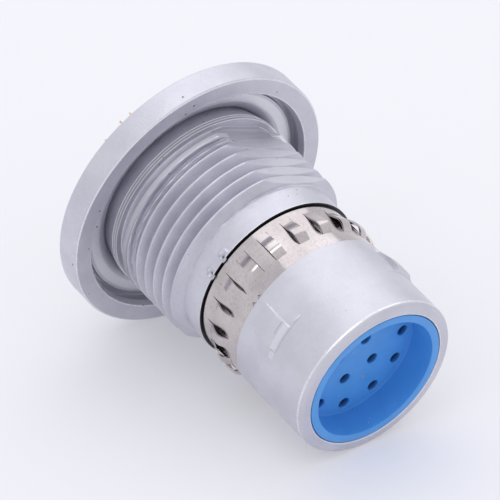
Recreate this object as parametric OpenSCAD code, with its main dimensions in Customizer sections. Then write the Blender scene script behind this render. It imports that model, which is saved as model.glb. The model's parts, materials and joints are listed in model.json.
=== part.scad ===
// Panel-mounting push-pull circular connector with fourteen socket contacts.
// The mating axis lies along Y and the mouth faces -Y. The origin is the centre of the
// flange face that seats on the panel. Each piece is drawn standing on that face, with its
// own Z towards the mouth, and lay_down() turns it into place.

/* [Flange] */
// Diameter of the mounting flange
flange_d = 20.1; // [19:0.1:24]
// Thickness of the mounting flange
flange_t = 2; // [1.8:0.1:3]
// Diameter of the gasket recess at the flange face
recess_d = 17.5; // [17:0.1:17.8]
// Depth of the gasket recess floor
recess_depth = 0.95; // [0.7:0.05:1]

/* [Threaded barrel] */
// Major diameter of the panel thread
thread_d = 14; // [13.8:0.1:14.4]
// Pitch of the panel thread
thread_pitch = 1; // [1]
// Number of full thread ridges
thread_ridges = 6; // [4:1:6]
// Distance across the two anti-rotation flats
flats_w = 12.56; // [12.52:0.02:13]
// Diameter of the smooth collar in front of the thread
collar_d = 12.48; // [12.4:0.02:12.5]

/* [Front shell] */
// Outside diameter of the shell that enters the mating half
shell_d = 12.24; // [12.2:0.02:12.4]
// Distance from the flange face to the mouth
reach = 19.8; // [19.4:0.1:21]
// Radius round the shell's front edge
lip_round = 0.4; // [0.2:0.05:0.5]
// Height of the coding pads above the shell
pad_h = 0.3; // [0.15:0.05:0.4]

/* [Grounding ring] */
// Number of spring bridges round the ring
bridges = 20; // [16:1:22]
// Height of the bridges above the ring
bridge_h = 0.4; // [0.2:0.05:0.5]
// Thickness of the ring's sheet
ring_t = 0.12; // [0.1:0.01:0.15]

/* [Contacts] */
// Number of contacts in the outer circle
outer_ways = 10; // [10]
// Number of contacts in the inner circle
inner_ways = 4; // [4]
// Diameter of the outer contact circle
outer_pcd = 7.72; // [7.6:0.02:7.8]
// Diameter of the inner contact circle
inner_pcd = 3.24; // [3.1:0.02:3.4]
// Diameter of the pins that the contacts take
pin_d = 0.7; // [0.6:0.05:0.75]
// How far the solder cups reach behind the flange face
tail_reach = 6.4; // [5.6:0.1:8]

/* [Hidden] */
$fn = 96;
eps = 0.01;

// angle of the flats and of the contact layout, from +X towards +Z
index_angle = 67;
// angles of the three coding pads, unevenly spaced so that only one way fits
pad_angles = [42, 152, 277];

// heights along the axis, from the flange face towards the mouth
hub_end = -3.8;
rear_face = -3.4;
neck_end = 0.7;
nut_seat = 1;
seal_seat = 2.7;
collar_start = 7;
collar_end = 8.74;
land_rear = 3.3;
land_front = 5.3;
ring_rear = 8.97;
groove_rear = 9.3;
groove_front = 11.8;
ring_front = 12.73;
shoulder = 12.75;
insert_step = 16;
floor_z = reach - 2.2;

// radii
thread_r = thread_d / 2;
neck_r = thread_r - 0.1;
collar_r = collar_d / 2;
hub_r = 6.6;
flange_r = flange_d / 2;
recess_r = recess_d / 2;
tail_bore_r = 5.8;
land_r = 4.9;
nut_r = 5.6;
stem_r = 4.8;
shell_r = shell_d / 2;
shell_bore_r = 5.25;
shell_tail_r = 5.77;
shell_neck_r = 5.6;
groove_r = 5.7;
ring_seat_r = 5.92;
ring_r = ring_seat_r + 0.01;
rim_r = 5.2;
cavity_r = 4.62;
insert_r = 5.35;

// thread form
thread_depth = 0.56;
crest_w = 0.34;
root_w = 0.12;

module lay_down() {
    rotate([90, 0, 0]) children();
}

// a profile of [radius, height] points turned about the axis
module turned(points) {
    rotate_extrude() polygon(points);
}

module at_angle(angle) {
    rotate([0, 0, angle]) children();
}

// ---------- flange body ----------

function thread_points() = [
    for (k = [0:thread_ridges - 1])
        let (crest = collar_start - 0.75 - k * thread_pitch)
        for (point = [
            [thread_r - thread_depth, crest + (thread_pitch - root_w) / 2],
            [thread_r, crest + crest_w / 2],
            [thread_r, crest - crest_w / 2],
            [thread_r - thread_depth, crest - (thread_pitch - root_w) / 2]
        ]) point
];

module body_turning() {
    turned(concat(
        [
            [nut_r, hub_end],
            [nut_r, land_rear],
            [land_r, land_rear],
            [land_r, land_front],
            [tail_bore_r, land_front],
            [tail_bore_r, collar_end],
            [collar_r - 0.08, collar_end],
            [collar_r, collar_end - 0.08],
            [collar_r, collar_start]
        ],
        thread_points(),
        [
            [neck_r, neck_end],
            [neck_r, -recess_depth],
            [recess_r - 0.42, -recess_depth],
            [recess_r - 0.42, -recess_depth - 0.3],
            [recess_r + 0.05, -recess_depth - 0.3],
            [recess_r + 0.05, -0.47],
            [recess_r - 0.17, -0.47],
            [recess_r, -0.06],
            [recess_r + 0.06, 0],
            [flange_r - 0.12, 0],
            [flange_r, -0.12],
            [flange_r, -flange_t + 0.15],
            [flange_r - 0.15, -flange_t],
            [hub_r, -flange_t],
            [hub_r, hub_end + 0.2],
            [hub_r - 0.2, hub_end]
        ]
    ));
}

// the two milled flats that stop the barrel turning in a double-D panel hole
module barrel_flats() {
    mill_base = -0.35;
    mill_depth = thread_r - flats_w / 2 + 0.3;
    mill_length = thread_r;
    at_angle(index_angle)
        for (side = [0, 180])
            at_angle(side)
                translate([flats_w / 2, -mill_length / 2, mill_base])
                    cube([mill_depth, mill_length, collar_start - mill_base]);
}

// punch marks that stake the body to the front shell
module stake_marks() {
    punch_r = 0.3;
    for (angle = [141, 154])
        at_angle(angle)
            translate([collar_r + punch_r - 0.12, 0, collar_end - 0.25])
                sphere(r = punch_r);
}

module flange_body() {
    color("#b9b8c2") lay_down() difference() {
        body_turning();
        barrel_flats();
        stake_marks();
    }
}

// ---------- front shell ----------

module shell_turning() {
    arc_steps = 6;
    turned(concat(
        [
            [shell_bore_r, insert_step],
            [shell_bore_r, reach]
        ],
        [for (k = [0:arc_steps])
            let (turn = 90 - 90 * k / arc_steps)
            [shell_r - lip_round + lip_round * cos(turn), reach - lip_round + lip_round * sin(turn)]
        ],
        [
            [shell_r, shoulder],
            [ring_seat_r, shoulder],
            [ring_seat_r, groove_front],
            [groove_r, groove_front],
            [groove_r, groove_rear],
            [ring_seat_r, groove_rear],
            [ring_seat_r, ring_rear],
            [shell_neck_r, ring_rear],
            [shell_neck_r, collar_end - 0.1],
            [shell_tail_r, collar_end - 0.1],
            [shell_tail_r, land_front + 0.1],
            [insert_r + 0.03, land_front + 0.1],
            [insert_r + 0.03, insert_step]
        ]
    ));
}

// one sector of a revolved [radius, height] profile, centred on the +X direction
module sector(width, points) {
    rotate([0, 0, -width / 2])
        rotate_extrude(angle = width)
            polygon(points);
}

// a coding pad: a raised land with a front ramp between two lower shoulders
module coding_pad() {
    buried = shell_r - 0.2;
    top = shell_r + pad_h;
    step = shell_r + 0.12;
    front = reach - 3.7;
    sector(20.5, [
        [buried, front],
        [shell_r, front],
        [top - 0.1, front - 0.12],
        [top, front - 0.62],
        [top, front - 2.3],
        [shell_r, front - 3],
        [buried, front - 3]
    ]);
    sector(42, [
        [buried, front],
        [shell_r, front],
        [step, front - 0.12],
        [step, front - 2.3],
        [shell_r, front - 2.75],
        [buried, front - 2.75]
    ]);
}

module front_shell() {
    color("#c9c8d2") lay_down() union() {
        shell_turning();
        for (angle = pad_angles) at_angle(angle) coding_pad();
    }
}

// ---------- grounding ring ----------

slit_rear = 9.42;
slit_front = 11.68;
slit_w = 0.5;
bridge_angle = 7.5;
bridge_start = 6.9;
foot = 0.1;

// height of a bridge along its length: it rises slowly from the rear and ends steeply
function bridge_rise(along) = bridge_h * sin(180 * pow(along, 1.7));

// one side of a bridge, from a foot inside the band's thickness to the other foot
function bridge_side(radius, steps) = concat(
    [[radius, slit_rear - foot]],
    [for (k = [0:steps])
        [radius + bridge_rise(k / steps), slit_rear + (slit_front - slit_rear) * k / steps]],
    [[radius, slit_front + foot]]
);

function reversed(list) = [for (k = [len(list) - 1:-1:0]) list[k]];

module ring_band() {
    turned([
        [ring_r, ring_rear],
        [ring_r + ring_t, ring_rear],
        [ring_r + ring_t, ring_front],
        [ring_r, ring_front]
    ]);
}

module ring_windows() {
    for (k = [0:bridges - 1])
        at_angle(bridge_start + k * 360 / bridges)
            sector(bridge_angle + 2 * slit_w, [
                [ring_r - 0.2, slit_rear],
                [ring_r + 0.5, slit_rear],
                [ring_r + 0.5, slit_front],
                [ring_r - 0.2, slit_front]
            ]);
}

module ring_bridge() {
    inset = 0.015;
    sector(bridge_angle, concat(
        bridge_side(ring_r + inset, 10),
        reversed(bridge_side(ring_r + ring_t - inset, 10))
    ));
}

// two small nicks where the ends of the strip meet
module strip_nicks() {
    for (angle = [142.2, 148.2])
        at_angle(angle)
            translate([ring_r, 0, ring_front])
                rotate([0, 90, 0])
                    rotate([0, 0, 45])
                        cube([0.36, 0.36, 0.6], center = true);
}

module grounding_ring() {
    color("#c2b8ab") lay_down() union() {
        difference() {
            ring_band();
            ring_windows();
            strip_nicks();
        }
        for (k = [0:bridges - 1])
            at_angle(bridge_start + k * 360 / bridges)
                ring_bridge();
    }
}

// ---------- insulators ----------

// x and y of each way, outer circle first
way_places = concat(
    [for (k = [0:outer_ways - 1])
        let (angle = index_angle + 180 / outer_ways + k * 360 / outer_ways)
        [cos(angle), sin(angle)] * outer_pcd / 2],
    [for (k = [0:inner_ways - 1])
        let (angle = index_angle + k * 360 / inner_ways)
        [cos(angle), sin(angle)] * inner_pcd / 2]
);

collar_seat = 0.8;
barrel_r = 0.5;
socket_r = 0.6;
contact_collar_r = 0.8;
entry_depth = 0.7;

// a plain hole round every way
module way_holes(radius, low, high) {
    for (place = way_places)
        translate([place.x, place.y, low])
            cylinder(r = radius, h = high - low);
}

module front_insulator() {
    color("#3d86dc") lay_down() difference() {
        turned([
            [0, land_front],
            [insert_r, land_front],
            [insert_r, insert_step],
            [rim_r, insert_step],
            [rim_r, reach - 0.06],
            [rim_r - 0.06, reach],
            [cavity_r + 0.05, reach],
            [cavity_r, reach - 0.05],
            [cavity_r, floor_z],
            [0, floor_z]
        ]);
        way_holes(pin_d / 2 + 0.05, floor_z - entry_depth - eps, floor_z + eps);
        way_holes(socket_r + 0.06, land_front + eps, floor_z - entry_depth);
        way_holes(contact_collar_r + 0.03, land_front - eps, land_front + collar_seat);
    }
}

module rear_insulator() {
    color("#2f6fc0") lay_down() difference() {
        turned([
            [0, rear_face],
            [stem_r, rear_face],
            [stem_r, nut_seat],
            [nut_r - 0.1, nut_seat],
            [nut_r - 0.1, seal_seat],
            [land_r - 0.05, seal_seat],
            [land_r - 0.05, land_front],
            [0, land_front]
        ]);
        way_holes(barrel_r + 0.02, rear_face - eps, land_front + eps);
    }
}

module insert_seal() {
    color("#3b3b3e") lay_down() turned([
        [land_r, seal_seat],
        [nut_r - 0.1, seal_seat],
        [nut_r - 0.1, land_rear],
        [land_r, land_rear]
    ]);
}

// a ring nut with a slot across its rear face for a two-pronged key
module retaining_nut() {
    slot_w = 1;
    slot_depth = 0.8;
    color("#b9b8c2") lay_down() difference() {
        turned([
            [stem_r + 0.05, rear_face],
            [nut_r - 0.2, rear_face],
            [nut_r, rear_face + 0.2],
            [nut_r, nut_seat],
            [stem_r + 0.05, nut_seat]
        ]);
        translate([-nut_r - 1, -slot_w / 2, rear_face - eps])
            cube([2 * nut_r + 2, slot_w, slot_depth]);
    }
}

// ---------- contacts ----------

module socket_contact() {
    tip = floor_z - entry_depth - 0.1;
    pin_bore = pin_d / 2 + 0.01;
    bore_floor = 11.8;
    cup_r = 0.38;
    cup_depth = 2;
    scoop = 1.3;
    difference() {
        turned([
            [0, -tail_reach],
            [barrel_r, -tail_reach],
            [barrel_r, land_front],
            [contact_collar_r, land_front],
            [contact_collar_r, land_front + collar_seat],
            [socket_r, land_front + collar_seat],
            [socket_r, tip - 0.1],
            [socket_r - 0.1, tip],
            [0, tip]
        ]);
        translate([0, 0, bore_floor]) cylinder(r = pin_bore, h = tip - bore_floor + eps);
        translate([-1, -0.07, tip - 4]) cube([2, 0.14, 4 + eps]);
        translate([0, 0, -tail_reach - eps]) cylinder(r = cup_r, h = cup_depth);
        translate([0.1, -1, -tail_reach - eps]) cube([2, 2, scoop]);
    }
}

// the contact at one way, its solder cup opening outwards
module contact(way) {
    place = way_places[way - 1];
    color("#d9b45b") lay_down()
        translate([place.x, place.y, 0])
            at_angle(atan2(place.y, place.x))
                socket_contact();
}

flange_body();
front_shell();
grounding_ring();
front_insulator();
rear_insulator();
insert_seal();
retaining_nut();
for (way = [1:outer_ways + inner_ways])
    contact(way);
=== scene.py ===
import json
import math
import bpy
from mathutils import Matrix, Vector

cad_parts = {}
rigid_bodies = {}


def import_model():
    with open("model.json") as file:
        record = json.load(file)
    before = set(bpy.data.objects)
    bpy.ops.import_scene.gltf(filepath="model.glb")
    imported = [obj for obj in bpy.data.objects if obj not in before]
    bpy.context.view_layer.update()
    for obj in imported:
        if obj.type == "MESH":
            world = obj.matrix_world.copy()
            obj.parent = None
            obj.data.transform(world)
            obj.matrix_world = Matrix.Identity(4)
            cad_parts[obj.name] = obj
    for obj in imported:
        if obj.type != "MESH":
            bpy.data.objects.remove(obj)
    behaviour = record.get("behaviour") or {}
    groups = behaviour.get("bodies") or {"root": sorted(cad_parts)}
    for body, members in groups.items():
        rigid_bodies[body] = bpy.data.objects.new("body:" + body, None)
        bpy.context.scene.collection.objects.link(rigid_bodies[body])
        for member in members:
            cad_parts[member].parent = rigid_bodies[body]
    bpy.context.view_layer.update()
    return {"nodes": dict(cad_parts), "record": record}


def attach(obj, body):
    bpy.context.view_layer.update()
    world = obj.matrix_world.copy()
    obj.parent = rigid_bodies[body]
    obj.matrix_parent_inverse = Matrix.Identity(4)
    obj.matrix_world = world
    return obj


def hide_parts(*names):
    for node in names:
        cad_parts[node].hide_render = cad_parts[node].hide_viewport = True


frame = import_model()
scene = bpy.context.scene
mm = 0.001  # pieces are shaped in millimetres, then laid in place in metres


class Wire:
    # one output socket that can stand in a sum

    def __init__(self, shader, socket):
        self.shader = shader
        self.socket = socket

    def join(self, operation, first, second):
        return self.shader.node("Math", {"operation": operation}, {0: first, 1: second})

    def __add__(self, other):
        return self.join("ADD", self, other)

    def __radd__(self, other):
        return self.join("ADD", other, self)

    def __sub__(self, other):
        return self.join("SUBTRACT", self, other)

    def __rsub__(self, other):
        return self.join("SUBTRACT", other, self)

    def __mul__(self, other):
        return self.join("MULTIPLY", self, other)

    def __rmul__(self, other):
        return self.join("MULTIPLY", other, self)

    def __pow__(self, other):
        return self.join("POWER", self, other)

    def __gt__(self, other):
        return self.join("GREATER_THAN", self, other)

    def __lt__(self, other):
        return self.join("LESS_THAN", self, other)


class Shader:
    # the node tree of a material or of the world

    def __init__(self, owner):
        self.owner = owner
        owner.use_nodes = True
        self.nodes = owner.node_tree.nodes
        self.links = owner.node_tree.links
        self.nodes.clear()

    def node(self, kind, settings=None, sockets=None, out=0):
        made = self.nodes.new("ShaderNode" + kind)
        for key, value in (settings or {}).items():
            setattr(made, key, value)
        for key, value in (sockets or {}).items():
            if isinstance(value, Wire):
                self.links.new(value.socket, made.inputs[key])
            else:
                made.inputs[key].default_value = value
        return Wire(self, made.outputs[out]) if made.outputs else None

    def other(self, wire, out):
        # another output of the node that a wire comes from
        return Wire(self, wire.socket.node.outputs[out])

    def larger(self, first, second):
        return self.node("Math", {"operation": "MAXIMUM"}, {0: first, 1: second})

    def remap(self, value, low, high, toLow=0, toHigh=1):
        return self.node("MapRange", {"interpolation_type": "SMOOTHSTEP"},
                         {0: value, 1: low, 2: high, 3: toLow, 4: toHigh})

    def between(self, value, low, high, soft):
        # 1 from low to high, with a soft edge outside both
        return self.remap(value, low - soft, low) * self.remap(value, high + soft, high)

    def mixColor(self, factor, first, second):
        return self.node("Mix", {"data_type": "RGBA"}, {0: factor, 6: first, 7: second}, out=2)

    def objectPlace(self):
        # Object coordinates in millimetres
        place = self.node("TexCoord", out=3)
        return self.node("VectorMath", {"operation": "SCALE"}, {0: place, 3: 1 / mm})

    def noise(self, place, scale, detail=2.0, roughness=0.5):
        return self.node("TexNoise", {}, {"Vector": place, "Scale": scale, "Detail": detail,
                                          "Roughness": roughness})

    def near(self, place, spot, size):
        # 1 at a spot, falling to 0 at its size
        away = self.node("VectorMath", {"operation": "DISTANCE"}, {0: place, 1: spot}, out=1)
        return self.remap(away, size, size * 0.5)

    def axisParts(self, place):
        # distance from the mating axis, place along it, and angle about it in degrees
        x = self.node("SeparateXYZ", {}, {0: place})
        y, z = self.other(x, 1), self.other(x, 2)
        turn = self.node("Math", {"operation": "ARCTAN2"}, {0: z, 1: x}) * (180 / math.pi)
        return (x * x + z * z) ** 0.5, y, turn

    def finish(self, surface):
        self.node("OutputMaterial", {}, {0: surface})
        return self.owner


def newShader(name):
    return Shader(bpy.data.materials.new(name))


def tint(r, g, b):
    return (r, g, b, 1)


# The connector lies on its flange rim and on the edge of its mouth, so the floor leans in
# the object's frame.
stageSet = {
    "cameraAt": (-200.70, -225.57, 265.42),
    "cameraRight": (0.80058822, -0.58723733, 0.11920918),
    "cameraUp": (0.32497721, 0.59265412, 0.73698772),
    "lens": 432,
    "floorNormal": (0, 0.198942, 0.980011),
    "floorDistance": -9.857, "floorRadius": 80, "floorFade": 45,
    "floorHaze": 0.31,  # share of the background seen through the floor
    "floorColor": tint(0.95, 0.945, 0.985),
    "backColor": tint(0.855, 0.862, 0.905),
    "skyTop": 0.74, "skyHorizon": 0.76, "skyFloor": 0.78, "skyBlue": 1.05,
    "horizon": (-0.12, 0.02),
    # name, direction, distance, size and power of each soft box
    "boxes": (("topBox", (0.331, 0.551, 0.759), 260, (340, 240), 0.165),
              ("frontBox", (-0.45, -0.04, 0.89), 320, (90, 260), 0.13)),
}


def makeCamera(values):
    data = bpy.data.cameras.new("viewCamera")
    data.lens = values["lens"]
    data.clip_start = 0.01
    data.clip_end = 10
    camera = bpy.data.objects.new("viewCamera", data)
    scene.collection.objects.link(camera)
    right = Vector(values["cameraRight"]).normalized()
    up = Vector(values["cameraUp"]).normalized()
    turn = Matrix((right, up, right.cross(up))).transposed()
    camera.matrix_world = Matrix.Translation(Vector(values["cameraAt"]) * mm) @ turn.to_4x4()
    scene.camera = camera


def seenPlainly(shader):
    # rays from the camera, and those that metal and clear surfaces send on
    camera = shader.node("LightPath")
    return shader.larger(camera + shader.other(camera, 3), shader.other(camera, 6))


def makeFloor(values):
    normal = Vector(values["floorNormal"]).normalized()
    bpy.ops.object.select_all(action="DESELECT")
    bpy.ops.mesh.primitive_circle_add(vertices=96, radius=values["floorRadius"] * mm,
                                      fill_type="NGON")
    floor = bpy.context.object
    floor.name = "floor"
    turn = Vector((0, 0, 1)).rotation_difference(normal).to_matrix().to_4x4()
    floor.matrix_world = Matrix.Translation(normal * values["floorDistance"] * mm) @ turn
    shader = newShader("paleFloor")
    away = shader.node("VectorMath", {"operation": "LENGTH"}, {0: shader.objectPlace()}, out=1)
    # the floor fades into the background, and can't be seen from below
    gone = shader.remap(away, values["floorFade"], values["floorRadius"])
    below = shader.node("NewGeometry", out=6)
    hidden = shader.larger(shader.larger(gone, below), seenPlainly(shader) * values["floorHaze"])
    paper = shader.node("BsdfDiffuse", {}, {0: values["floorColor"]})
    clear = shader.node("BsdfTransparent")
    surface = shader.node("MixShader", {}, {0: hidden, 1: paper, 2: clear})
    floor.data.materials.append(shader.finish(surface))


def makeWorld(values):
    world = bpy.data.worlds.new("paleRoom")
    scene.world = world
    shader = Shader(world)
    direction = shader.node("TexCoord")
    height = shader.node("VectorMath", {"operation": "DOT_PRODUCT"},
                         {0: direction, 1: values["floorNormal"]}, out=1)
    sky = shader.remap(height, 0.0, 1.0, values["skyHorizon"], values["skyTop"])
    ground = shader.remap(height, *values["horizon"], values["skyFloor"], 0)
    level = sky * shader.remap(height, *values["horizon"]) + ground
    light = shader.node("CombineColor", {}, {0: level, 1: level, 2: level * values["skyBlue"]})
    color = shader.mixColor(seenPlainly(shader), light, values["backColor"])
    background = shader.node("Background", {}, {0: color, 1: 1.0})
    shader.node("OutputWorld", {}, {0: background})


def makeBox(name, toward, distance, size, power):
    data = bpy.data.lights.new(name, "AREA")
    data.shape = "RECTANGLE"
    data.size, data.size_y = size[0] * mm, size[1] * mm
    data.energy = power
    lamp = bpy.data.objects.new(name, data)
    scene.collection.objects.link(lamp)
    place = Vector(toward).normalized() * distance * mm
    lamp.location = place
    lamp.rotation_mode = "QUATERNION"
    lamp.rotation_quaternion = place.to_track_quat("Z", "Y")


scene.view_settings.view_transform = "Standard"
makeCamera(stageSet)
makeFloor(stageSet)
makeWorld(stageSet)
for box in stageSet["boxes"]:
    makeBox(*box)
print("stage: camera, floor and light are set")


def spotOn(angle, radius, height):
    # a place on the turned form, in the frame's own directions
    turn = math.radians(angle)
    return (radius * math.cos(turn), -height, radius * math.sin(turn))


def metalShader(name, values):
    # plated metal: fine blasted grain, faint blotches, turning lines, edges smoothed by wear with
    # a painted highlight, painted light and painted shade in set places, and small marks
    v = values
    shader = newShader(name)
    place = shader.objectPlace()
    radius, along, turn = shader.axisParts(place)
    height = 0 - along
    blotch = shader.noise(place, v["blotchScale"], 3.0)
    grain = shader.noise(place, v["grainScale"], 2.0, 0.6)
    mottle = shader.noise(place, v["mottleScale"], 3.0, 0.65)
    profile = shader.node("CombineXYZ", {}, {0: radius, 1: along})
    rings = shader.node("TexNoise", {"noise_dimensions": "2D"},
                        {"Vector": profile, "Scale": v["ringScale"], "Detail": 2.0})
    color = shader.mixColor(shader.remap(blotch, *v["blotchRange"]), v["dark"], v["light"])
    stained = shader.remap(mottle, *v["stainRange"]) * v["mottleDepth"]
    color = shader.mixColor(stained, color, v["stain"])
    scuffed = shader.remap(mottle, *v["scuffRange"]) * v["scuffs"]
    color = shader.mixColor(scuffed, color, v["scuffColor"])
    rough = v["rough"] + (blotch - 0.5) * v["roughSpread"] + (grain - 0.5) * v["grainRough"]
    kept = shader.remap(mottle, *v["wornHighlightRange"])
    # edges rubbed smooth: less rough, and lighter as a painted highlight
    for edgeRadius, edgeHeight, size in v["wornHighlitEdges"]:
        away = ((radius - edgeRadius) ** 2.0 + (height - edgeHeight) ** 2.0) ** 0.5
        wornAndHighlit = shader.remap(away, size, size * 0.4) * kept
        color = shader.mixColor(wornAndHighlit * v["wornHighlightLevel"], color, v["wornHighlightColor"])
        rough = rough - wornAndHighlit * v["wornShine"]
    # painted light and painted shade in rings round the axis
    for low, high, inner, outer, soft, level, bandColor in v["paintedBands"]:
        band = shader.between(height, low, high, soft) * (radius > inner) * (radius < outer)
        color = shader.mixColor(band * level, color, bandColor)
    # painted light and painted shade in patches between two angles and two heights
    for start, end, low, high, level, lineColor in v["paintedStrokes"]:
        stroke = shader.between(turn, start, end, 0.5) * shader.between(height, low, high, 0.05)
        color = shader.mixColor(stroke * level, color, lineColor)
    # pits, and the single marks that have their own places
    cells = shader.node("TexVoronoi", {}, {"Vector": place, "Scale": v["pitScale"]})
    chosen = shader.noise(place, v["pitScale"] * v["pitSpread"], 0.0)
    marks = shader.remap(cells, v["pitSize"], v["pitSize"] * 0.4)
    marks = marks * shader.remap(chosen, *v["pitRange"])
    for mark in v["marks"]:
        marks = shader.larger(marks, shader.near(place, spotOn(*mark[:3]), mark[3]))
    color = shader.mixColor(marks * v["markLevel"], color, v["markColor"])
    relief = (grain * v["grainDepth"] + mottle * v["mottleBump"] + rings * v["ringDepth"]
              - marks * v["markDepth"])
    bump = shader.node("Bump", {}, {"Height": relief, "Distance": mm, "Strength": 1.0})
    metal = shader.node("BsdfPrincipled", {}, {"Base Color": color, "Metallic": v["metallic"],
                                               "Roughness": rough, "Normal": bump})
    return shader.finish(metal)


# painted shade, for the gap between the collar and the grounding ring
paintedShade = tint(0.02, 0.02, 0.025)
# painted light and painted highlights, for the land, the turning lines and the neck's fillet
paintedLight = tint(0.95, 0.95, 0.98)

bodyFinish = {
    "dark": tint(0.595, 0.590, 0.655), "light": tint(0.655, 0.650, 0.715),
    "blotchScale": 0.45, "blotchRange": (0.3, 0.7), "metallic": 0.8,
    "rough": 0.42, "roughSpread": 0.12,
    "grainScale": 8.0, "grainDepth": 0.012, "grainRough": 0.06,
    "mottleScale": 4.5, "mottleDepth": 0.14, "mottleBump": 0.006,
    "stain": tint(0.44, 0.44, 0.50), "stainRange": (0.55, 0.30),
    "scuffColor": tint(0.93, 0.93, 0.95), "scuffs": 0.16, "scuffRange": (0.60, 0.78),
    "ringScale": 7.0, "ringDepth": 0.003,
    "pitScale": 1.3, "pitSize": 0.09, "pitSpread": 0.37, "pitRange": (0.58, 0.62),
    # the lighter colour of rubbed edges is a painted highlight; the lower roughness is the wear
    "wornHighlightColor": tint(0.90, 0.90, 0.93), "wornHighlightLevel": 0.55, "wornShine": 0.16,
    "wornHighlightRange": (0.30, 0.45),
    # radius, height and size of each edge rubbed smooth, with a painted highlight along it
    "wornHighlitEdges": ((10.0, 0.0, 0.10), (8.80, 0.0, 0.08), (10.0, -1.95, 0.09), (6.22, 8.78, 0.07)),
    # low, high, inner radius, outer radius, soft edge, strength and colour of each painted ring
    # of light and shade all round: painted shade in the gap at the collar's end, painted light on
    # the land where the thread starts, painted highlights on the wall edge and the two turning
    # lines, and painted light over the shade line at the neck's fillet
    "paintedBands": ((8.79, 8.80, 0, 7.0, 0.02, 0.95, paintedShade),
              (1.02, 1.42, 6.6, 7.2, 0.01, 0.65, paintedLight),
              (0.205, 0.245, 6.9, 7.2, 0.01, 1.0, paintedLight),
              (0.0, 0.04, 6.9, 7.2, 0.01, 1.0, paintedLight),
              (-0.20, -0.16, 6.9, 7.2, 0.01, 1.0, paintedLight),
              (-0.96, -0.30, 6.97, 8.1, 0.01, 0.5, paintedLight)),
    # from angle, to angle, low, high, strength and colour: shade at the foot of a flat
    "paintedStrokes": ((42.5, 91.5, 0.31, 0.50, 0.40, tint(0.25, 0.25, 0.30)),),
    # angle, radius, height and size of single dark specks: nicks and burrs, and painted shade
    # inside the two stake dimples
    "marks": ((100.5, 9.29, 0, 0.11), (104.9, 8.95, 0, 0.10), (162, 8.95, 0, 0.10),
              (182.6, 9.0, 0, 0.07), (53.9, 9.19, 0, 0.07), (189.8, 10.05, -0.36, 0.12),
              # the last mark on this line and the first on the next are painted shade in the
              # stake dimples
              (103.3, 10.05, -0.52, 0.09), (178, 7.75, -0.95, 0.10), (141.0, 6.16, 8.55, 0.14),
              (153.6, 6.16, 8.52, 0.11), (92.5, 6.95, 2.73, 0.13), (82.3, 6.50, 2.86, 0.10),
              (83.3, 6.52, 3.95, 0.09), (78.2, 6.40, 4.81, 0.09), (84.9, 6.60, 5.88, 0.08),
              (85.1, 6.58, 1.84, 0.09), (63.4, 6.29, 3.85, 0.07), (56.4, 6.38, 3.75, 0.08)),
    "markLevel": 0.8, "markColor": tint(0.08, 0.08, 0.10), "markDepth": 0.02,
}

shellFinish = dict(
    bodyFinish, dark=tint(0.605, 0.599, 0.660), light=tint(0.660, 0.653, 0.715),
    ringDepth=0.001, pitSize=0.05, mottleDepth=0.10, scuffs=0.10,
    # painted highlights on the lip's rounding and on the inner edge of the front face
    wornHighlitEdges=((6.11, 19.46, 0.11), (5.30, 19.8, 0.05)),
    # painted shade on the shell's waist under the grounding ring
    paintedBands=((8.51, 9.5, 0, 5.95, 0.02, 0.9, paintedShade),), marks=(),
    # painted shade and painted highlights along the edges and ramps of the coding pads
    paintedStrokes=((160.5, 161.0, 13.9, 15.85, 0.45, tint(0.20, 0.20, 0.24)),
             (141.5, 142.0, 13.9, 16.05, 0.40, tint(0.97, 0.97, 1.0)),
             (142.5, 150.5, 15.50, 15.53, 0.40, tint(0.25, 0.25, 0.30)),
             (142.5, 160.0, 15.70, 16.00, 0.28, tint(0.95, 0.95, 0.97)),
             (132.0, 160.5, 16.12, 16.15, 0.25, tint(0.30, 0.30, 0.34)),
             (162.0, 166.5, 15.75, 16.05, 0.25, tint(0.95, 0.95, 0.92)),
             (50.3, 50.8, 13.9, 15.9, 0.45, tint(0.20, 0.20, 0.24)),
             (31.6, 32.1, 13.9, 16.0, 0.40, tint(0.97, 0.97, 1.0))))

springFinish = dict(
    bodyFinish, metallic=1.0, dark=tint(0.52, 0.475, 0.475), light=tint(0.63, 0.585, 0.58),
    stain=tint(0.32, 0.27, 0.26), rough=0.15, roughSpread=0.10, grainDepth=0.001,
    ringDepth=0.0012, pitSize=0.03, mottleDepth=0.22, mottleBump=0.002, scuffs=0.2,
    # painted shade on the ring's rear edge beside the gap
    wornHighlitEdges=(), paintedBands=((8.86, 8.921, 0, 7.0, 0.02, 0.6, paintedShade),), paintedStrokes=(), marks=())

goldFinish = dict(
    bodyFinish, metallic=1.0, dark=tint(0.70, 0.53, 0.26), light=tint(0.80, 0.64, 0.34),
    stain=tint(0.50, 0.36, 0.16), rough=0.24, grainDepth=0.001, ringDepth=0.001, pitSize=0.02,
    mottleBump=0.001, scuffs=0.1, wornHighlitEdges=(), paintedBands=(), paintedStrokes=(), marks=())


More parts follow.
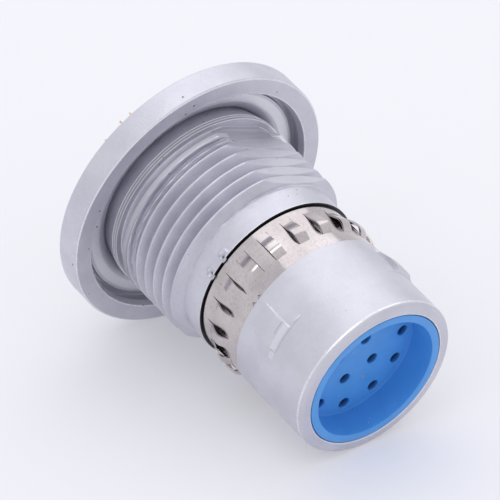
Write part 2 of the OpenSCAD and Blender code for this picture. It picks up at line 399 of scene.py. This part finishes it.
def plasticShader(name, values):
    # moulded plastic: even colour, faint flow, satin gloss, painted shade in the pin entries, a
    # few specks
    v = values
    shader = newShader(name)
    place = shader.objectPlace()
    radius, along = shader.axisParts(place)[:2]
    height = 0 - along
    flow = shader.noise(place, v["flowScale"], 3.0)
    grain = shader.noise(place, v["grainScale"], 2.0)
    color = shader.mixColor(shader.remap(flow, *v["flowRange"]), v["dark"], v["light"])
    # painted shade, darker further down the pin entries
    inside = shader.remap(height, v["entryFrom"], v["entryFrom"] - v["entryFade"])
    inside = inside * (radius < v["entryReach"])
    color = shader.mixColor(inside * v["entryLevel"], color, v["deep"])
    cells = shader.node("TexVoronoi", {}, {"Vector": place, "Scale": v["speckScale"]})
    chosen = shader.noise(place, v["speckScale"] * v["speckSpread"], 0.0)
    speck = shader.remap(cells, v["speckSize"], v["speckSize"] * 0.5)
    darkSpeck = speck * shader.remap(chosen, *v["darkSpecks"]) * v["darkLevel"]
    color = shader.mixColor(darkSpeck, color, v["deep"])
    paleSpeck = speck * shader.remap(chosen, *v["paleSpecks"]) * v["paleLevel"]
    color = shader.mixColor(paleSpeck, color, v["paleColor"])
    for mark in v["marks"]:
        spot = shader.near(place, spotOn(*mark[:3]), mark[3])
        color = shader.mixColor(spot * v["markLevel"], color, v["markColor"])
    rough = v["rough"] + (flow - 0.5) * v["roughSpread"]
    relief = grain * v["grainDepth"] + flow * v["flowDepth"]
    bump = shader.node("Bump", {}, {"Height": relief, "Distance": mm, "Strength": 1.0})
    plastic = shader.node("BsdfPrincipled", {}, {"Base Color": color, "Roughness": rough,
                                                 "Normal": bump, "IOR": v["ior"]})
    return shader.finish(plastic)


blueFinish = {
    "dark": tint(0.072, 0.325, 0.760), "light": tint(0.088, 0.350, 0.810),
    "flowScale": 0.5, "flowRange": (0.3, 0.7), "flowDepth": 0.01,
    "rough": 0.40, "roughSpread": 0.10, "ior": 1.5, "grainScale": 9.0, "grainDepth": 0.003,
    # painted shade in the pin entries; the same colour darkens the specks
    "deep": tint(0.016, 0.070, 0.28),  # inside the pin entries
    "entryFrom": 17.6, "entryFade": 0.45, "entryReach": 4.5, "entryLevel": 0.85,
    "speckScale": 1.4, "speckSize": 0.07, "speckSpread": 0.41,
    "darkSpecks": (0.60, 0.64), "darkLevel": 0.8,
    "paleSpecks": (0.40, 0.36), "paleLevel": 0.5, "paleColor": tint(0.75, 0.80, 0.85),
    # angle, radius, height and size: a smudge beside the gate
    "marks": ((-64.7, 2.16, 17.6, 0.22),), "markLevel": 0.45, "markColor": tint(0.42, 0.40, 0.36),
}

sealFinish = dict(
    blueFinish, dark=tint(0.020, 0.020, 0.022), light=tint(0.03, 0.03, 0.033),
    deep=tint(0.01, 0.01, 0.01), rough=0.6, marks=())

materials = {
    "body_metal": metalShader("bodyPlate", bodyFinish),
    "shell_metal": metalShader("shellPlate", shellFinish),
    "spring_metal": metalShader("springPlate", springFinish),
    "contact_gold": metalShader("contactPlate", goldFinish),
    "insulator_blue": plasticShader("bluePlastic", blueFinish),
    "seal_rubber": plasticShader("sealRubber", sealFinish),
}
slotOf = {part["node"]: part["material_slot"] for part in frame["record"]["subparts"]}

for node, piece in frame["nodes"].items():
    piece.data.materials.clear()
    piece.data.materials.append(materials[slotOf[node]])
print("materials: one finish for each slot")

mergeGap = 0.0004

# Each piece is shaped on its own upright axis, which points out of the mouth.


def startPiece(name, at):
    # one vertex in edit mode
    bpy.ops.object.select_all(action="DESELECT")
    bpy.ops.mesh.primitive_plane_add(size=1)
    piece = bpy.context.object
    piece.name = piece.data.name = name
    bpy.ops.object.mode_set(mode="EDIT")
    bpy.ops.mesh.select_mode(type="VERT")
    bpy.ops.mesh.select_all(action="SELECT")
    bpy.ops.mesh.merge(type="CENTER")
    bpy.ops.transform.translate(value=at)
    return piece


def cleanMesh():
    bpy.ops.mesh.select_all(action="SELECT")
    bpy.ops.mesh.remove_doubles(threshold=mergeGap)
    bpy.ops.mesh.dissolve_degenerate(threshold=mergeGap * 0.25)
    bpy.ops.mesh.normals_make_consistent(inside=False)
    bpy.ops.object.mode_set(mode="OBJECT")


def turnedPart(name, outline, steps):
    # a closed outline of (radius, height) points, spun about the axis
    piece = startPiece(name, (outline[0][0], 0, outline[0][1]))
    for (r1, z1), (r2, z2) in zip(outline, outline[1:] + outline[:1]):
        bpy.ops.mesh.extrude_vertices_move(
            TRANSFORM_OT_translate={"value": (r2 - r1, 0, z2 - z1)})
    bpy.ops.mesh.select_all(action="SELECT")
    bpy.ops.mesh.remove_doubles(threshold=mergeGap)
    bpy.ops.mesh.spin(steps=steps, angle=2 * math.pi, center=(0, 0, 0), axis=(0, 0, 1),
                      use_auto_merge=True)
    cleanMesh()
    return piece


def softened(points, steps=3):
    # rounds each corner that gives a size as its third number
    path = []
    for index, point in enumerate(points):
        if len(point) == 2:
            path.append(point)
            continue
        here = Vector(point[:2])
        before = (Vector(points[index - 1][:2]) - here).normalized() * point[2]
        after = (Vector(points[(index + 1) % len(points)][:2]) - here).normalized() * point[2]
        for step in range(steps + 1):
            part = step / steps
            place = here + before * (1 - part) ** 2 + after * part ** 2
            path.append((place.x, place.y))
    return path


def spaced(start, end, gap):
    # heights from start to end, about a gap apart, without the end itself
    count = max(1, round(abs(end - start) / gap))
    return [start + (end - start) * k / count for k in range(count)]


def smoothStep(low, high, value):
    part = min(1, max(0, (value - low) / (high - low)))
    return part * part * (3 - 2 * part)


def polar(radius, angle, height):
    turn = math.radians(angle)
    return Vector((radius * math.cos(turn), radius * math.sin(turn), height))


def block(*steps):
    # a cube, sized and placed by one or more matrices, the last one first
    bpy.ops.object.select_all(action="DESELECT")
    bpy.ops.mesh.primitive_cube_add(size=1)
    tool = bpy.context.object
    whole = Matrix()
    for step in steps:
        whole = whole @ step
    tool.data.transform(whole)
    return tool


def sized(width, depth, height):
    return Matrix.Diagonal((width, depth, height, 1))


def turned(angle, axis="Z"):
    return Matrix.Rotation(math.radians(angle), 4, axis)


def moveAll(piece, angle, shift):
    # turns the mesh about its own axis and moves it
    piece.data.transform(Matrix.Translation(Vector(shift)) @ turned(angle))


def onlyActive(piece):
    bpy.ops.object.select_all(action="DESELECT")
    piece.select_set(True)
    bpy.context.view_layer.objects.active = piece


def joined(pieces):
    onlyActive(pieces[0])
    for piece in pieces:
        piece.select_set(True)
    bpy.ops.object.join()
    return bpy.context.object


def twinOf(piece, name):
    twin = piece.copy()
    twin.data = piece.data.copy()
    twin.name = twin.data.name = name
    scene.collection.objects.link(twin)
    return twin


def carve(piece, tools, operation="DIFFERENCE"):
    for tool in tools:
        cut = piece.modifiers.new("cut", "BOOLEAN")
        cut.operation = operation
        cut.solver = "EXACT"
        cut.object = tool
        onlyActive(piece)
        bpy.ops.object.modifier_apply(modifier="cut")
        bpy.data.objects.remove(tool, do_unlink=True)


def layInPlace(piece, node, angle=30):
    # lays the finished piece along the mating axis, in metres, and puts it in for its node
    piece.data.transform(Matrix.Scale(mm, 4) @ turned(90, "X"))
    onlyActive(piece)
    bpy.ops.object.shade_smooth_by_angle(angle=math.radians(angle))
    slotName = slotOf[node]
    piece.data.materials.clear()
    piece.data.materials.append(materials[slotName])
    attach(piece, "root")
    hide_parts(node)


flangeBody = {
    "steps": 300, "rowGap": 0.034, "collarRowGap": 0.06,
    "threadRadius": 7.0, "rootRadius": 6.19, "crestWidth": 0.14, "rootWidth": 0.04, "pitch": 1.0,
    "threadSoftness": 0.05, "chamferSlope": 1.6,
    "crestHeight": 1.4, "crestAngle": 120,  # where one crest stands
    # between these angles the thread runs out in a broad land behind a groove with a thin ridge
    "runoutIn": (10, 50), "runoutOut": (300, 260), "runoutFrom": 0.24, "runoutLift": 0.45,
    "ridgePlace": 0.5, "ridgeLevel": 0.42, "ridgeEdge": (0.11, 0.03), "grooveEdge": (0.26, 0.12),
    "crestEnd": 0.76, "landEdge": (0.84, 0.98),
    "neckRadius": 6.95, "neckEnd": 0.24, "neckFillet": 0.7,
    "turningLines": (0.02, -0.18), "lineRise": 0.015, "lineWidth": 0.04,
    "reliefRadius": 6.5, "threadStart": 1.02, "startEase": (-0.10, 0.03),
    "collarRadius": 6.24, "collarStart": 7.0, "collarEnd": 8.79,
    "flatDistance": 6.28, "flatAngle": 67, "flatBase": 0.234,
    "flangeRadius": 10.05, "flangeThickness": 2.0, "hubRadius": 6.6, "hubEnd": -3.8,
    # the recess has a step before its wall, and a slot under that
    "recessDepth": 0.95, "recessRadius": 8.75, "stepWidth": 0.42, "slotDepth": 0.3,
    "ledge": -0.47, "ledgeWidth": 0.17, "mouthBevel": 0.06,
    "rearBore": 5.6, "land": 4.9, "landRear": 3.3, "landFront": 5.3, "tailBore": 5.8,
    "stakeAngles": (141, 154), "stakeRadius": 0.30, "stakeDepth": 0.14, "stakeBack": 0.25,
    "burrRise": 0.08, "burrWidth": 0.08, "burrShift": 1.6, "burrBack": 0.28,
    "lipRise": 0.12, "lipSpread": (2.2, 0.6), "lipShift": 0.6,
}


def threadSurface(values, angle, height):
    # radius of the helical thread, eased into the neck and cut back by the front chamfer
    v = values
    turnHeight = v["crestHeight"] + v["pitch"] * (angle - v["crestAngle"]) / 360
    away = abs((height - turnHeight + v["pitch"] / 2) % v["pitch"] - v["pitch"] / 2)
    flank = (v["pitch"] - v["crestWidth"] - v["rootWidth"]) / 2
    rise = ((v["pitch"] - v["rootWidth"]) / 2 - away) / flank
    soft = v["threadSoftness"]
    level = 0.5 * (math.hypot(rise, soft) - math.hypot(rise - 1, soft) + 1)
    depth = v["threadRadius"] - v["rootRadius"]
    radius = v["rootRadius"] + depth * level
    # next to the neck
    behind = turnHeight + v["pitch"] - height
    if behind > v["runoutFrom"]:
        fromRidge = abs(behind - v["ridgePlace"])
        ridge = v["ridgeLevel"] * smoothStep(*v["ridgeEdge"], fromRidge)
        groove = smoothStep(*v["grooveEdge"], fromRidge) * (1 - ridge)
        crest = level * (1 - groove) if behind < v["crestEnd"] else 0.0
        level = max(smoothStep(*v["landEdge"], behind), crest, ridge)
        runout = v["rootRadius"] + v["runoutLift"] + (depth - v["runoutLift"]) * level
        shown = smoothStep(*v["runoutIn"], angle) * smoothStep(*v["runoutOut"], angle)
        radius += (runout - radius) * shown
    low, high = v["startEase"]
    eased = smoothStep(v["threadStart"] + low, v["threadStart"] + high, height)
    radius = v["reliefRadius"] * (1 - eased) + radius * eased
    return min(radius, v["collarRadius"] + (v["collarStart"] - height) * v["chamferSlope"])


def burredCollar(values, angle, height):
    # radius of the collar, with metal pushed up round each stake mark
    v = values
    radius = v["collarRadius"]
    for stake in v["stakeAngles"]:
        across = math.radians(angle - stake + v["burrShift"]) * radius
        away = math.hypot(across, height - v["collarEnd"] + v["burrBack"])
        radius += v["burrRise"] * math.exp(-((away - v["stakeRadius"]) / v["burrWidth"]) ** 2)
    return radius


def bodyOutline(values):
    v = values
    face, back, deep = 0.0, -v["flangeThickness"], -v["recessDepth"]
    recess, flange, neck = v["recessRadius"], v["flangeRadius"], v["neckRadius"]
    slot = deep - v["slotDepth"]
    reliefEnd = v["threadStart"] - 0.2
    outline = softened([
        (v["rearBore"], v["hubEnd"]), (v["rearBore"], v["landRear"]),
        (v["land"], v["landRear"]), (v["land"], v["landFront"]), (v["tailBore"], v["landFront"]),
        (v["tailBore"], v["collarEnd"], 0.05), (v["collarRadius"], v["collarEnd"], 0.045)], 5)
    collarHeights = spaced(v["collarEnd"] - 0.1, v["collarStart"], v["collarRowGap"])
    outline += [(v["collarRadius"], height) for height in collarHeights]
    threadHeights = spaced(v["collarStart"], reliefEnd, v["rowGap"])
    outline += [(v["reliefRadius"], height) for height in threadHeights]
    outline += softened([
        (v["reliefRadius"], reliefEnd), (v["reliefRadius"], v["neckEnd"], 0.12),
        (neck, v["neckEnd"], 0.03), (neck, v["neckEnd"] - 0.1)])
    for line in v["turningLines"]:
        outline += [(neck, line + v["lineWidth"] / 2), (neck + v["lineRise"], line),
                    (neck, line - v["lineWidth"] / 2)]
    outline += softened([
        (neck, deep, v["neckFillet"]),
        (recess - v["stepWidth"], deep, 0.05), (recess - v["stepWidth"], slot, 0.04),
        (recess + 0.05, slot, 0.06), (recess + 0.05, v["ledge"], 0.04),
        (recess - v["ledgeWidth"], v["ledge"], 0.03), (recess, face - v["mouthBevel"], 0.03),
        (recess + 0.05, face, 0.03), (flange - 0.10, face, 0.03), (flange, face - 0.10, 0.03),
        (flange, back + 0.14, 0.05), (flange - 0.14, back, 0.05),
        (v["hubRadius"], back, 0.08), (v["hubRadius"], v["hubEnd"], 0.2),
        (v["rearBore"], v["hubEnd"], 0.04)], 6)[:-1]
    return outline


def makeFlangeBody(values):
    v = values
    body = turnedPart("flange_body_turned", bodyOutline(v), v["steps"])
    for vertex in body.data.vertices:
        x, y, z = vertex.co
        radius = math.hypot(x, y)
        angle = math.degrees(math.atan2(y, x)) % 360
        if abs(z - v["collarEnd"]) < 0.04 and radius > v["collarRadius"] - 0.2:
            # metal pushed into the gap at each stake mark
            for stake in v["stakeAngles"]:
                away = abs(angle - stake - v["lipShift"])
                vertex.co.z += v["lipRise"] * smoothStep(*v["lipSpread"], away)
        outside = v["collarRadius"] - 0.02 <= radius <= v["threadRadius"] + 0.1
        if not outside or not v["threadStart"] - 0.19 < z < v["collarEnd"] - 0.05:
            continue
        onThread = z < v["collarStart"]
        wanted = threadSurface(v, angle, z) if onThread else burredCollar(v, angle, z)
        vertex.co = (x * wanted / radius, y * wanted / radius, z)
    return body


def makeFlatTools(values):
    # a milling block for each of the two flats
    v = values
    low, high = v["flatBase"], v["collarStart"] - 0.02
    depth = v["threadRadius"] - v["flatDistance"] + 0.3
    middle = Vector((v["flatDistance"] + depth / 2, 0, (high + low) / 2))
    return [block(turned(v["flatAngle"] + side), Matrix.Translation(middle),
                  sized(depth, v["threadRadius"], high - low)) for side in (0, 180)]


def makeStakeTools(values):
    v = values
    tools = []
    for angle in v["stakeAngles"]:
        bpy.ops.object.select_all(action="DESELECT")
        bpy.ops.mesh.primitive_ico_sphere_add(subdivisions=3, radius=v["stakeRadius"])
        tool = bpy.context.object
        reach = v["collarRadius"] + v["stakeRadius"] - v["stakeDepth"]
        place = polar(reach, angle, v["collarEnd"] - v["stakeBack"])
        tool.data.transform(Matrix.Translation(place) @ sized(1.0, 1.0, 0.8))
        tools.append(tool)
    return tools


body = makeFlangeBody(flangeBody)
carve(body, makeFlatTools(flangeBody) + makeStakeTools(flangeBody))
layInPlace(body, "flange_body", 19)
print("flange body: turned, threaded, milled and staked")


frontShell = {
    "steps": 600, "rowGap": 0.06,
    "radius": 6.12, "bore": 5.25, "front": 19.8, "shoulder": 12.75, "lipRound": 0.42,
    "padAngles": (41.3, 151.2, 277), "padHalfWidth": 9.4, "padSideEase": 0.35, "padHeight": 0.32,
    "padFront": 16.1, "padStep": 0.12, "padStepLength": 0.08, "padRampTop": 15.55,
    "padBack": 13.5, "padBackLength": 1.5,
    # lower shoulders beside the pads, which fade towards their round outline
    "wingHalfWidth": 21, "wingHeight": 0.075, "wingLength": 2.9, "wingFade": (1.0, 0.62),
    "ringSeat": 5.92, "groove": (5.7, 9.3, 11.8), "waist": (5.6, 8.64, 8.97),
    "tail": 5.77, "rear": 5.4, "insertBore": 5.38, "insertStep": 16.0,
}


def padSurface(values, angle, height):
    # height of the coding pads and their shoulders over the plain shell
    v = values
    best = 0.0
    for middle in v["padAngles"]:
        across = abs((angle - middle + 180) % 360 - 180)
        behind = v["padFront"] - height
        if across > v["wingHalfWidth"] + 1 or not 0 < behind < v["padFront"] - v["padBack"] + 0.4:
            continue
        step = smoothStep(0, v["padStepLength"], behind)
        ramp = min(1, max(0, behind / (v["padFront"] - v["padRampTop"])))
        back = min(1, max(0, (height - v["padBack"] + 0.2) / v["padBackLength"]))
        raised = v["padHeight"] * (v["padStep"] * step + (1 - v["padStep"]) * ramp) * back
        raised *= smoothStep(v["padHalfWidth"] + v["padSideEase"],
                             v["padHalfWidth"] - v["padSideEase"], across)
        fade = math.hypot(across / v["wingHalfWidth"], behind / v["wingLength"])
        wing = v["wingHeight"] * step * smoothStep(*v["wingFade"], fade)
        best = max(best, raised, wing)
    return best


def shellOutline(values):
    v = values
    radius, edge, seat = v["radius"], v["front"] - v["lipRound"], v["ringSeat"]
    grooveRadius, grooveRear, grooveFront = v["groove"]
    waistRadius, waistRear, waistFront = v["waist"]
    outline = [(v["bore"], v["front"] - 0.04), (v["bore"] + 0.04, v["front"])]
    for angle in range(0, 90, 9):
        turn = math.radians(angle)
        outline.append((radius - v["lipRound"] + v["lipRound"] * math.sin(turn),
                        edge + v["lipRound"] * math.cos(turn)))
    before, ramp, back = v["padFront"] + 0.03, v["padFront"] - 0.12, v["padBack"] - 0.1
    heights = (spaced(edge, before, 0.6) + [before] + spaced(v["padFront"], ramp, 0.03)
               + spaced(ramp, back, v["rowGap"]) + [back])
    outline += [(radius, height) for height in heights]
    return outline + softened([
        (radius, v["shoulder"], 0.05), (seat, v["shoulder"]),
        (seat, grooveFront), (grooveRadius, grooveFront), (grooveRadius, grooveRear),
        (seat, grooveRear), (seat, waistFront), (waistRadius, waistFront),
        (waistRadius, waistRear), (v["tail"], waistRear), (v["tail"], v["rear"], 0.1),
        (v["insertBore"], v["rear"]), (v["insertBore"], v["insertStep"]),
        (v["bore"], v["insertStep"])])


def makeFrontShell(values):
    v = values
    shell = turnedPart("front_shell_turned", shellOutline(v), v["steps"])
    for vertex in shell.data.vertices:
        x, y, z = vertex.co
        radius = math.hypot(x, y)
        if radius < v["radius"] - 0.01 or not v["padBack"] - 0.2 < z <= v["padFront"] + 0.01:
            continue
        wanted = v["radius"] + padSurface(v, math.degrees(math.atan2(y, x)) % 360, z)
        vertex.co = (x * wanted / radius, y * wanted / radius, z)
    return shell


layInPlace(makeFrontShell(frontShell), "front_shell")
print("front shell: turned, with its coding pads")


groundingRing = {
    "radius": 5.93, "sheet": 0.12, "rear": 8.92, "front": 12.73,
    "slitRear": 9.42, "slitFront": 11.68, "slitWidth": 0.25,
    "bridges": 20, "bridgeWidth": 7.5, "firstBridge": 6.9, "rise": 0.4, "riseShape": 1.7,
    "bridgeColumns": 8, "bridgeRows": 30,
    # further rows and columns that keep the faces of the band even
    "sideColumn": 1.6, "slitColumn": 1.2, "rearRow": 0.22, "frontRows": (0.35, 0.7),
    "nickAngles": (142.2, 148.2), "nickSize": 0.17,
}


def makeBridge(values):
    # one bridge with its share of the band: a flat sheet, slit and then bent
    v = values
    share, half = 360 / v["bridges"], v["bridgeWidth"] / 2
    slit = half + v["slitWidth"]
    across = [-share / 2, -share / 2 + v["sideColumn"], -slit - v["slitColumn"], -slit, -half]
    across += [-half + v["bridgeWidth"] * k / v["bridgeColumns"]
               for k in range(1, v["bridgeColumns"])]
    across += [-value for value in reversed(across[:5])]
    along = [v["rear"], v["rear"] + v["rearRow"], v["slitRear"]]
    along += [v["slitRear"] + (v["slitFront"] - v["slitRear"]) * k / v["bridgeRows"]
              for k in range(1, v["bridgeRows"] + 1)]
    along += [v["slitFront"] + row for row in v["frontRows"]] + [v["front"]]
    columns, rows = len(across) - 1, len(along) - 1
    bpy.ops.object.select_all(action="DESELECT")
    bpy.ops.mesh.primitive_grid_add(x_subdivisions=columns, y_subdivisions=rows, size=2)
    bridge = bpy.context.object
    for vertex in bridge.data.vertices:
        column = round((vertex.co.x + 1) / 2 * columns)
        row = round((vertex.co.y + 1) / 2 * rows)
        vertex.co = (across[column], along[row], 0)
    bpy.ops.object.mode_set(mode="EDIT")
    bpy.ops.mesh.select_mode(type="FACE")
    bpy.ops.mesh.select_all(action="DESELECT")
    bpy.ops.object.mode_set(mode="OBJECT")
    for face in bridge.data.polygons:
        angle, height = face.center.x, face.center.y
        face.select = half < abs(angle) < slit and v["slitRear"] < height < v["slitFront"]
    bpy.ops.object.mode_set(mode="EDIT")
    bpy.ops.mesh.delete(type="FACE")
    bpy.ops.object.mode_set(mode="OBJECT")
    for vertex in bridge.data.vertices:
        angle, height = vertex.co.x, vertex.co.y
        part = (height - v["slitRear"]) / (v["slitFront"] - v["slitRear"])
        radius = v["radius"]
        if abs(angle) <= half + 0.001 and 0 < part < 1:
            radius += v["rise"] * math.sin(math.pi * part ** v["riseShape"])
        vertex.co = polar(radius, angle, height)
    return bridge


def makeGroundingRing(values):
    v = values
    bridge = makeBridge(v)
    twins = []
    for k in range(v["bridges"]):
        twin = twinOf(bridge, "bridgeTwin%d" % k)
        moveAll(twin, v["firstBridge"] + k * 360 / v["bridges"], (0, 0, 0))
        twins.append(twin)
    bpy.data.objects.remove(bridge, do_unlink=True)
    ring = joined(twins)
    ring.name = ring.data.name = "grounding_ring_sprung"
    bpy.ops.object.mode_set(mode="EDIT")
    cleanMesh()
    wall = ring.modifiers.new("wall", "SOLIDIFY")
    wall.thickness = v["sheet"]
    wall.offset = 1.0
    wall.use_even_offset = True
    onlyActive(ring)
    bpy.ops.object.modifier_apply(modifier="wall")
    return ring


def makeNickTools(values):
    v = values
    edge = Vector((v["radius"], 0, v["front"]))
    return [block(turned(angle), Matrix.Translation(edge), turned(45, "X"),
                  sized(1.0, v["nickSize"] * 2, v["nickSize"] * 2)) for angle in v["nickAngles"]]


ring = makeGroundingRing(groundingRing)
carve(ring, makeNickTools(groundingRing))
layInPlace(ring, "grounding_ring", 40)
print("grounding ring: lanced, bent and nicked")


ways = {"angle": 67, "outer": 10, "outerRadius": 3.86, "inner": 4, "innerRadius": 1.62}


def wayPlaces(values):
    # angle and radius of each way, outer circle first
    outerStep, innerStep = 360 / values["outer"], 360 / values["inner"]
    places = [(values["angle"] + outerStep / 2 + k * outerStep, values["outerRadius"])
              for k in range(values["outer"])]
    return places + [(values["angle"] + k * innerStep, values["innerRadius"])
                     for k in range(values["inner"])]


def carveWays(piece, tool):
    # one hole for each way
    tools = []
    for number, (angle, radius) in enumerate(wayPlaces(ways)):
        twin = twinOf(tool, "wayTool%d" % number)
        moveAll(twin, 0, polar(radius, angle, 0))
        tools.append(twin)
    bpy.data.objects.remove(tool, do_unlink=True)
    carve(piece, [joined(tools)])


frontInsulator = {
    "radius": 5.35, "rim": 5.2, "cavity": 4.62, "front": 19.8, "floor": 17.6, "step": 16.0,
    "rear": 5.3, "collar": 0.83, "collarDepth": 0.8, "socket": 0.66,
    "entry": 0.4, "entryDepth": 0.7, "entryLead": 0.05,
    "gateAngle": -64.6, "gateRadius": 2.23, "gateSize": 0.16, "gateRound": 0.05,
}


def makeFrontInsulator(values):
    v = values
    piece = turnedPart("front_insulator_moulded", softened([
        (0, v["rear"]), (v["radius"], v["rear"]), (v["radius"], v["step"]), (v["rim"], v["step"]),
        (v["rim"], v["front"], 0.06), (v["cavity"], v["front"], 0.08),
        (v["cavity"], v["floor"], 0.10), (0, v["floor"])]), 192)
    seat, entryStart = v["rear"] + v["collarDepth"], v["floor"] - v["entryDepth"]
    lead, over = v["entry"] + v["entryLead"], 0.05
    carveWays(piece, turnedPart("entryTool", [
        (0, v["rear"] - 0.01), (v["collar"], v["rear"] - 0.01), (v["collar"], seat),
        (v["socket"], seat), (v["socket"], entryStart), (v["entry"], entryStart),
        (v["entry"], v["floor"] - v["entryLead"]), (lead, v["floor"]),
        (lead, v["floor"] + over), (0, v["floor"] + over)], 36))
    # the mark of the moulding gate on the cavity floor
    bpy.ops.object.select_all(action="DESELECT")
    bpy.ops.mesh.primitive_torus_add(major_radius=v["gateSize"], minor_radius=v["gateRound"],
                                     major_segments=24, minor_segments=8)
    gate = bpy.context.object
    gate.data.transform(Matrix.Translation(polar(v["gateRadius"], v["gateAngle"], v["floor"])))
    carve(piece, [gate], "UNION")
    return piece


rearInsulator = {
    "stem": 4.8, "flange": 5.5, "land": 4.85, "rear": -3.4, "seat": 1.0, "seal": 2.7,
    "front": 5.3, "way": 0.52, "wayLead": 0.05,
}


def makeRearInsulator(values):
    v = values
    piece = turnedPart("rear_insulator_moulded", softened([
        (0, v["rear"]), (v["stem"], v["rear"], 0.08), (v["stem"], v["seat"]),
        (v["flange"], v["seat"]), (v["flange"], v["seal"]), (v["land"], v["seal"]),
        (v["land"], v["front"]), (0, v["front"])]), 144)
    lead, over = v["way"] + v["wayLead"], 0.05
    carveWays(piece, turnedPart("wayTool", [
        (0, v["rear"] - over), (lead, v["rear"] - over), (lead, v["rear"]),
        (v["way"], v["rear"] + v["wayLead"]), (v["way"], v["front"] + over),
        (0, v["front"] + over)], 36))
    return piece


retainingNut = {
    "bore": 4.85, "radius": 5.6, "rear": -3.4, "front": 1.0, "slotWidth": 1.0, "slotDepth": 0.8,
}


def makeRetainingNut(values):
    v = values
    piece = turnedPart("retaining_nut_slotted", softened([
        (v["bore"], v["rear"], 0.06), (v["radius"], v["rear"], 0.2), (v["radius"], v["front"]),
        (v["bore"], v["front"])]), 144)
    slot = block(Matrix.Translation((0, 0, v["rear"])),
                 sized(v["radius"] * 2.5, v["slotWidth"], 2 * v["slotDepth"]))
    carve(piece, [slot])
    return piece


layInPlace(makeFrontInsulator(frontInsulator), "front_insulator")
layInPlace(makeRearInsulator(rearInsulator), "rear_insulator")
layInPlace(makeRetainingNut(retainingNut), "retaining_nut")
print("insulators and nut: moulded and cut")


contactShape = {
    "tail": -6.4, "barrel": 0.5, "collarRear": 5.3, "collar": 0.8, "collarDepth": 0.8,
    "socket": 0.6, "tip": 16.8, "tipBevel": 0.1, "bore": 0.36, "boreFloor": 11.8,
    "slotWidth": 0.14, "slotDepth": 4.0,
    "cup": 0.38, "cupDepth": 2.0, "scoop": 1.3, "scoopFrom": 0.1,
}


def makeContact(values):
    v = values
    rear, tip = v["tail"], v["tip"]
    cupFloor, collarFront = rear + v["cupDepth"], v["collarRear"] + v["collarDepth"]
    piece = turnedPart("contactModel", softened([
        (0, cupFloor), (v["cup"], cupFloor), (v["cup"], rear, 0.03),
        (v["barrel"], rear, 0.04), (v["barrel"], v["collarRear"]),
        (v["collar"], v["collarRear"], 0.04), (v["collar"], collarFront, 0.04),
        (v["socket"], collarFront), (v["socket"], tip - v["tipBevel"]),
        (v["socket"] - v["tipBevel"], tip), (v["bore"], tip, 0.03), (v["bore"], v["boreFloor"]),
        (0, v["boreFloor"])]), 48)
    slot = block(Matrix.Translation((0, 0, tip)), sized(3, v["slotWidth"], 2 * v["slotDepth"]))
    scoop = block(Matrix.Translation((v["scoopFrom"] + 1, 0, rear)), sized(2, 2, 2 * v["scoop"]))
    carve(piece, [slot, scoop])
    return piece


contact = makeContact(contactShape)
for number, (angle, radius) in enumerate(wayPlaces(ways), 1):
    twin = twinOf(contact, "contact_%d_turned" % number)
    moveAll(twin, angle, polar(radius, angle, 0))
    layInPlace(twin, "contact_%d" % number)
bpy.data.objects.remove(contact, do_unlink=True)
print("contacts: one turned, then copied to each way")
